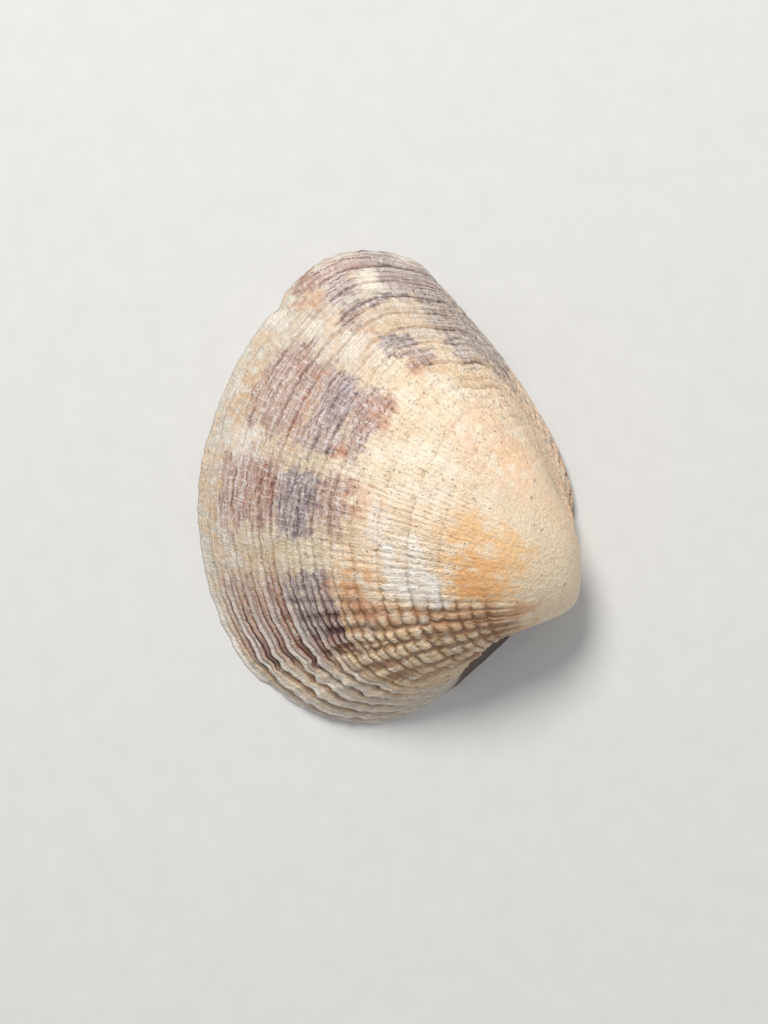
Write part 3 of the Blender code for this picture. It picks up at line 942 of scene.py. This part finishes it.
def build_valve():
    """The valve from a sphere whose rings become the rows of its two faces."""
    places, number = rib_grid()
    upper, growth, ridge, groove, in_lunule = outer_face(places, number)
    lower = inner_face(places)
    rows = np.concatenate([upper, lower])
    count = len(rows)
    valve, ring, column = ringed_ball("clam_valve", count, len(places))
    mesh = valve.data
    at_row = np.clip(ring - 1, 0, count - 1)
    at = (at_row, column)
    on_pole = (ring == 0) | (ring == count + 1)

    spots = rows[at]
    spots[ring == 0] = upper[0].mean(axis=0)
    spots[ring == count + 1] = lower[-1].mean(axis=0)
    low, high = np.array([list(corner) for corner in CAD_BOX])
    gap = np.array([BOX_GAP, BOX_GAP, 0]) * MM
    mesh.vertices.foreach_set("co", np.clip(spots * MM, low + gap, high - gap).ravel())

    paint, ray = paint_shell(places, number, growth, ridge, upper)
    fields = {"groove": groove, "lunule": in_lunule, "ray": ray}
    store_paint(mesh, fields, paint, len(lower), at, on_pole)

    # The outer face counts growth from 0 to 1, and the inner face goes on from 1 to 2
    inward = 1 + (np.arange(len(lower)) + 1) / (len(lower) + 1)
    depth = np.concatenate([growth[:, 0], inward])[at_row]
    depth = np.where(ring == 0, 0.0, np.where(ring == count + 1, 2.0, depth))
    ridge_at = np.concatenate([ridge[:, 0], np.zeros(len(lower))])[at_row]
    round_maps = {"growth": (places, 1.0, depth), "lattice": (number, number[-1], ridge_at)}
    least = store_maps(mesh, round_maps, ring, column, (0, count + 1))

    mesh.materials.append(outer_shell())
    mesh.materials.append(inner_shell())
    mesh.polygons.foreach_set("material_index", (least >= 0.9999).astype(int))
    mesh.shade_smooth()
    mesh.update()
    return valve


class ClamStageSizes(bpy.types.PropertyGroup):
    """Sizes and colours of the plain stage."""

    floor_width: bpy.props.FloatProperty(
        name="Floor width", description="Side of the square floor", default=1.2, unit="LENGTH")
    floor_colour: bpy.props.FloatVectorProperty(
        name="Floor colour", description="Colour of the plain floor", subtype="COLOR",
        size=3, default=(0.68, 0.67, 0.65))


class CLAM_OT_valve(bpy.types.Operator):
    """Model the valve with its ridges, ribs, rays and glossy inside"""

    bl_idname = "clam.valve"
    bl_label = "Clam valve"

    def execute(self, context):
        valve = build_valve()
        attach(valve, "root")
        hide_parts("valve")
        return {"FINISHED"}


def add_lamp(name, place, width, watts, colour):
    """A round soft lamp at a place, turned to the middle of the valve's foot."""
    lamp = bpy.data.lights.new(name, "AREA")
    lamp.shape = "DISK"
    lamp.size = width
    lamp.energy = watts
    lamp.color = colour
    made = bpy.data.objects.new(name, lamp)
    made.location = place
    made.rotation_euler = (-Vector(place)).to_track_quat("-Z", "Y").to_euler()
    bpy.context.scene.collection.objects.link(made)


class CLAM_OT_stage(bpy.types.Operator):
    """Add the floor, the soft lights and the camera over the valve"""

    bl_idname = "clam.stage"
    bl_label = "Stage"

    def execute(self, context):
        sizes = context.scene.clam_stage
        bm = bmesh.new()
        bmesh.ops.create_grid(bm, x_segments=1, y_segments=1, size=sizes.floor_width / 2)
        bmesh.ops.translate(bm, verts=bm.verts, vec=(0, 0, -FLOOR_DROP))
        floor = mesh_object("floor", bm)
        bench = NodeBench("floor_paper")
        spot = bench.add("ShaderNodeTexCoord", output=3)
        tint = tuple(sizes.floor_colour)
        shade = tuple(c * 0.96 for c in tint)
        paper = bench.mix(grain(bench, spot, 400.0).rise(-0.3, 0.3), (*tint, 1.0), (*shade, 1.0))
        floor.data.materials.append(bench.finish(Base_Color=paper, Roughness=0.9))

        for lamp in LAMPS:
            add_lamp(*lamp)
        world = bpy.data.worlds.new("soft_room")
        world.use_nodes = True
        sky = world.node_tree.nodes["Background"]
        sky.inputs["Color"].default_value = SKY_COLOUR
        sky.inputs["Strength"].default_value = SKY_STRENGTH
        context.scene.world = world
        context.scene.view_settings.view_transform = "Standard"

        lens = bpy.data.cameras.new("camera")
        lens.sensor_width = FILM
        lens.lens = FILM * CAMERA_HEIGHT / PICTURE_SPAN
        lens.clip_start = 0.01
        camera = bpy.data.objects.new("camera", lens)
        x, y = CAMERA_OVER
        camera.location = (x * MM, y * MM, CAMERA_HEIGHT * MM)
        camera.rotation_euler = (0, 0, math.radians(90))
        context.scene.collection.objects.link(camera)
        context.scene.camera = camera
        return {"FINISHED"}


class CLAM_PT_panel(bpy.types.Panel):
    """Lists the valve, the stage and the sizes of the stage"""

    bl_idname = "CLAM_PT_panel"
    bl_label = "Venus clam valve"
    bl_space_type = "VIEW_3D"
    bl_region_type = "UI"
    bl_category = "Clam"

    def draw(self, context):
        self.layout.operator("clam.valve")
        self.layout.operator("clam.stage")
        self.layout.prop(context.scene.clam_stage, "floor_width")
        self.layout.prop(context.scene.clam_stage, "floor_colour")


CLASSES = (ClamStageSizes, CLAM_OT_valve, CLAM_OT_stage, CLAM_PT_panel)


def register():
    """Makes the classes and the stage's sizes known to Blender."""
    for one in CLASSES:
        bpy.utils.register_class(one)
    bpy.types.Scene.clam_stage = bpy.props.PointerProperty(type=ClamStageSizes)


def unregister():
    """Takes them away again."""
    del bpy.types.Scene.clam_stage
    for one in reversed(CLASSES):
        bpy.utils.unregister_class(one)


def main():
    """Builds the stage and the valve."""
    register()
    bpy.ops.clam.stage()
    bpy.ops.clam.valve()


if __name__ == "__main__":
    main()
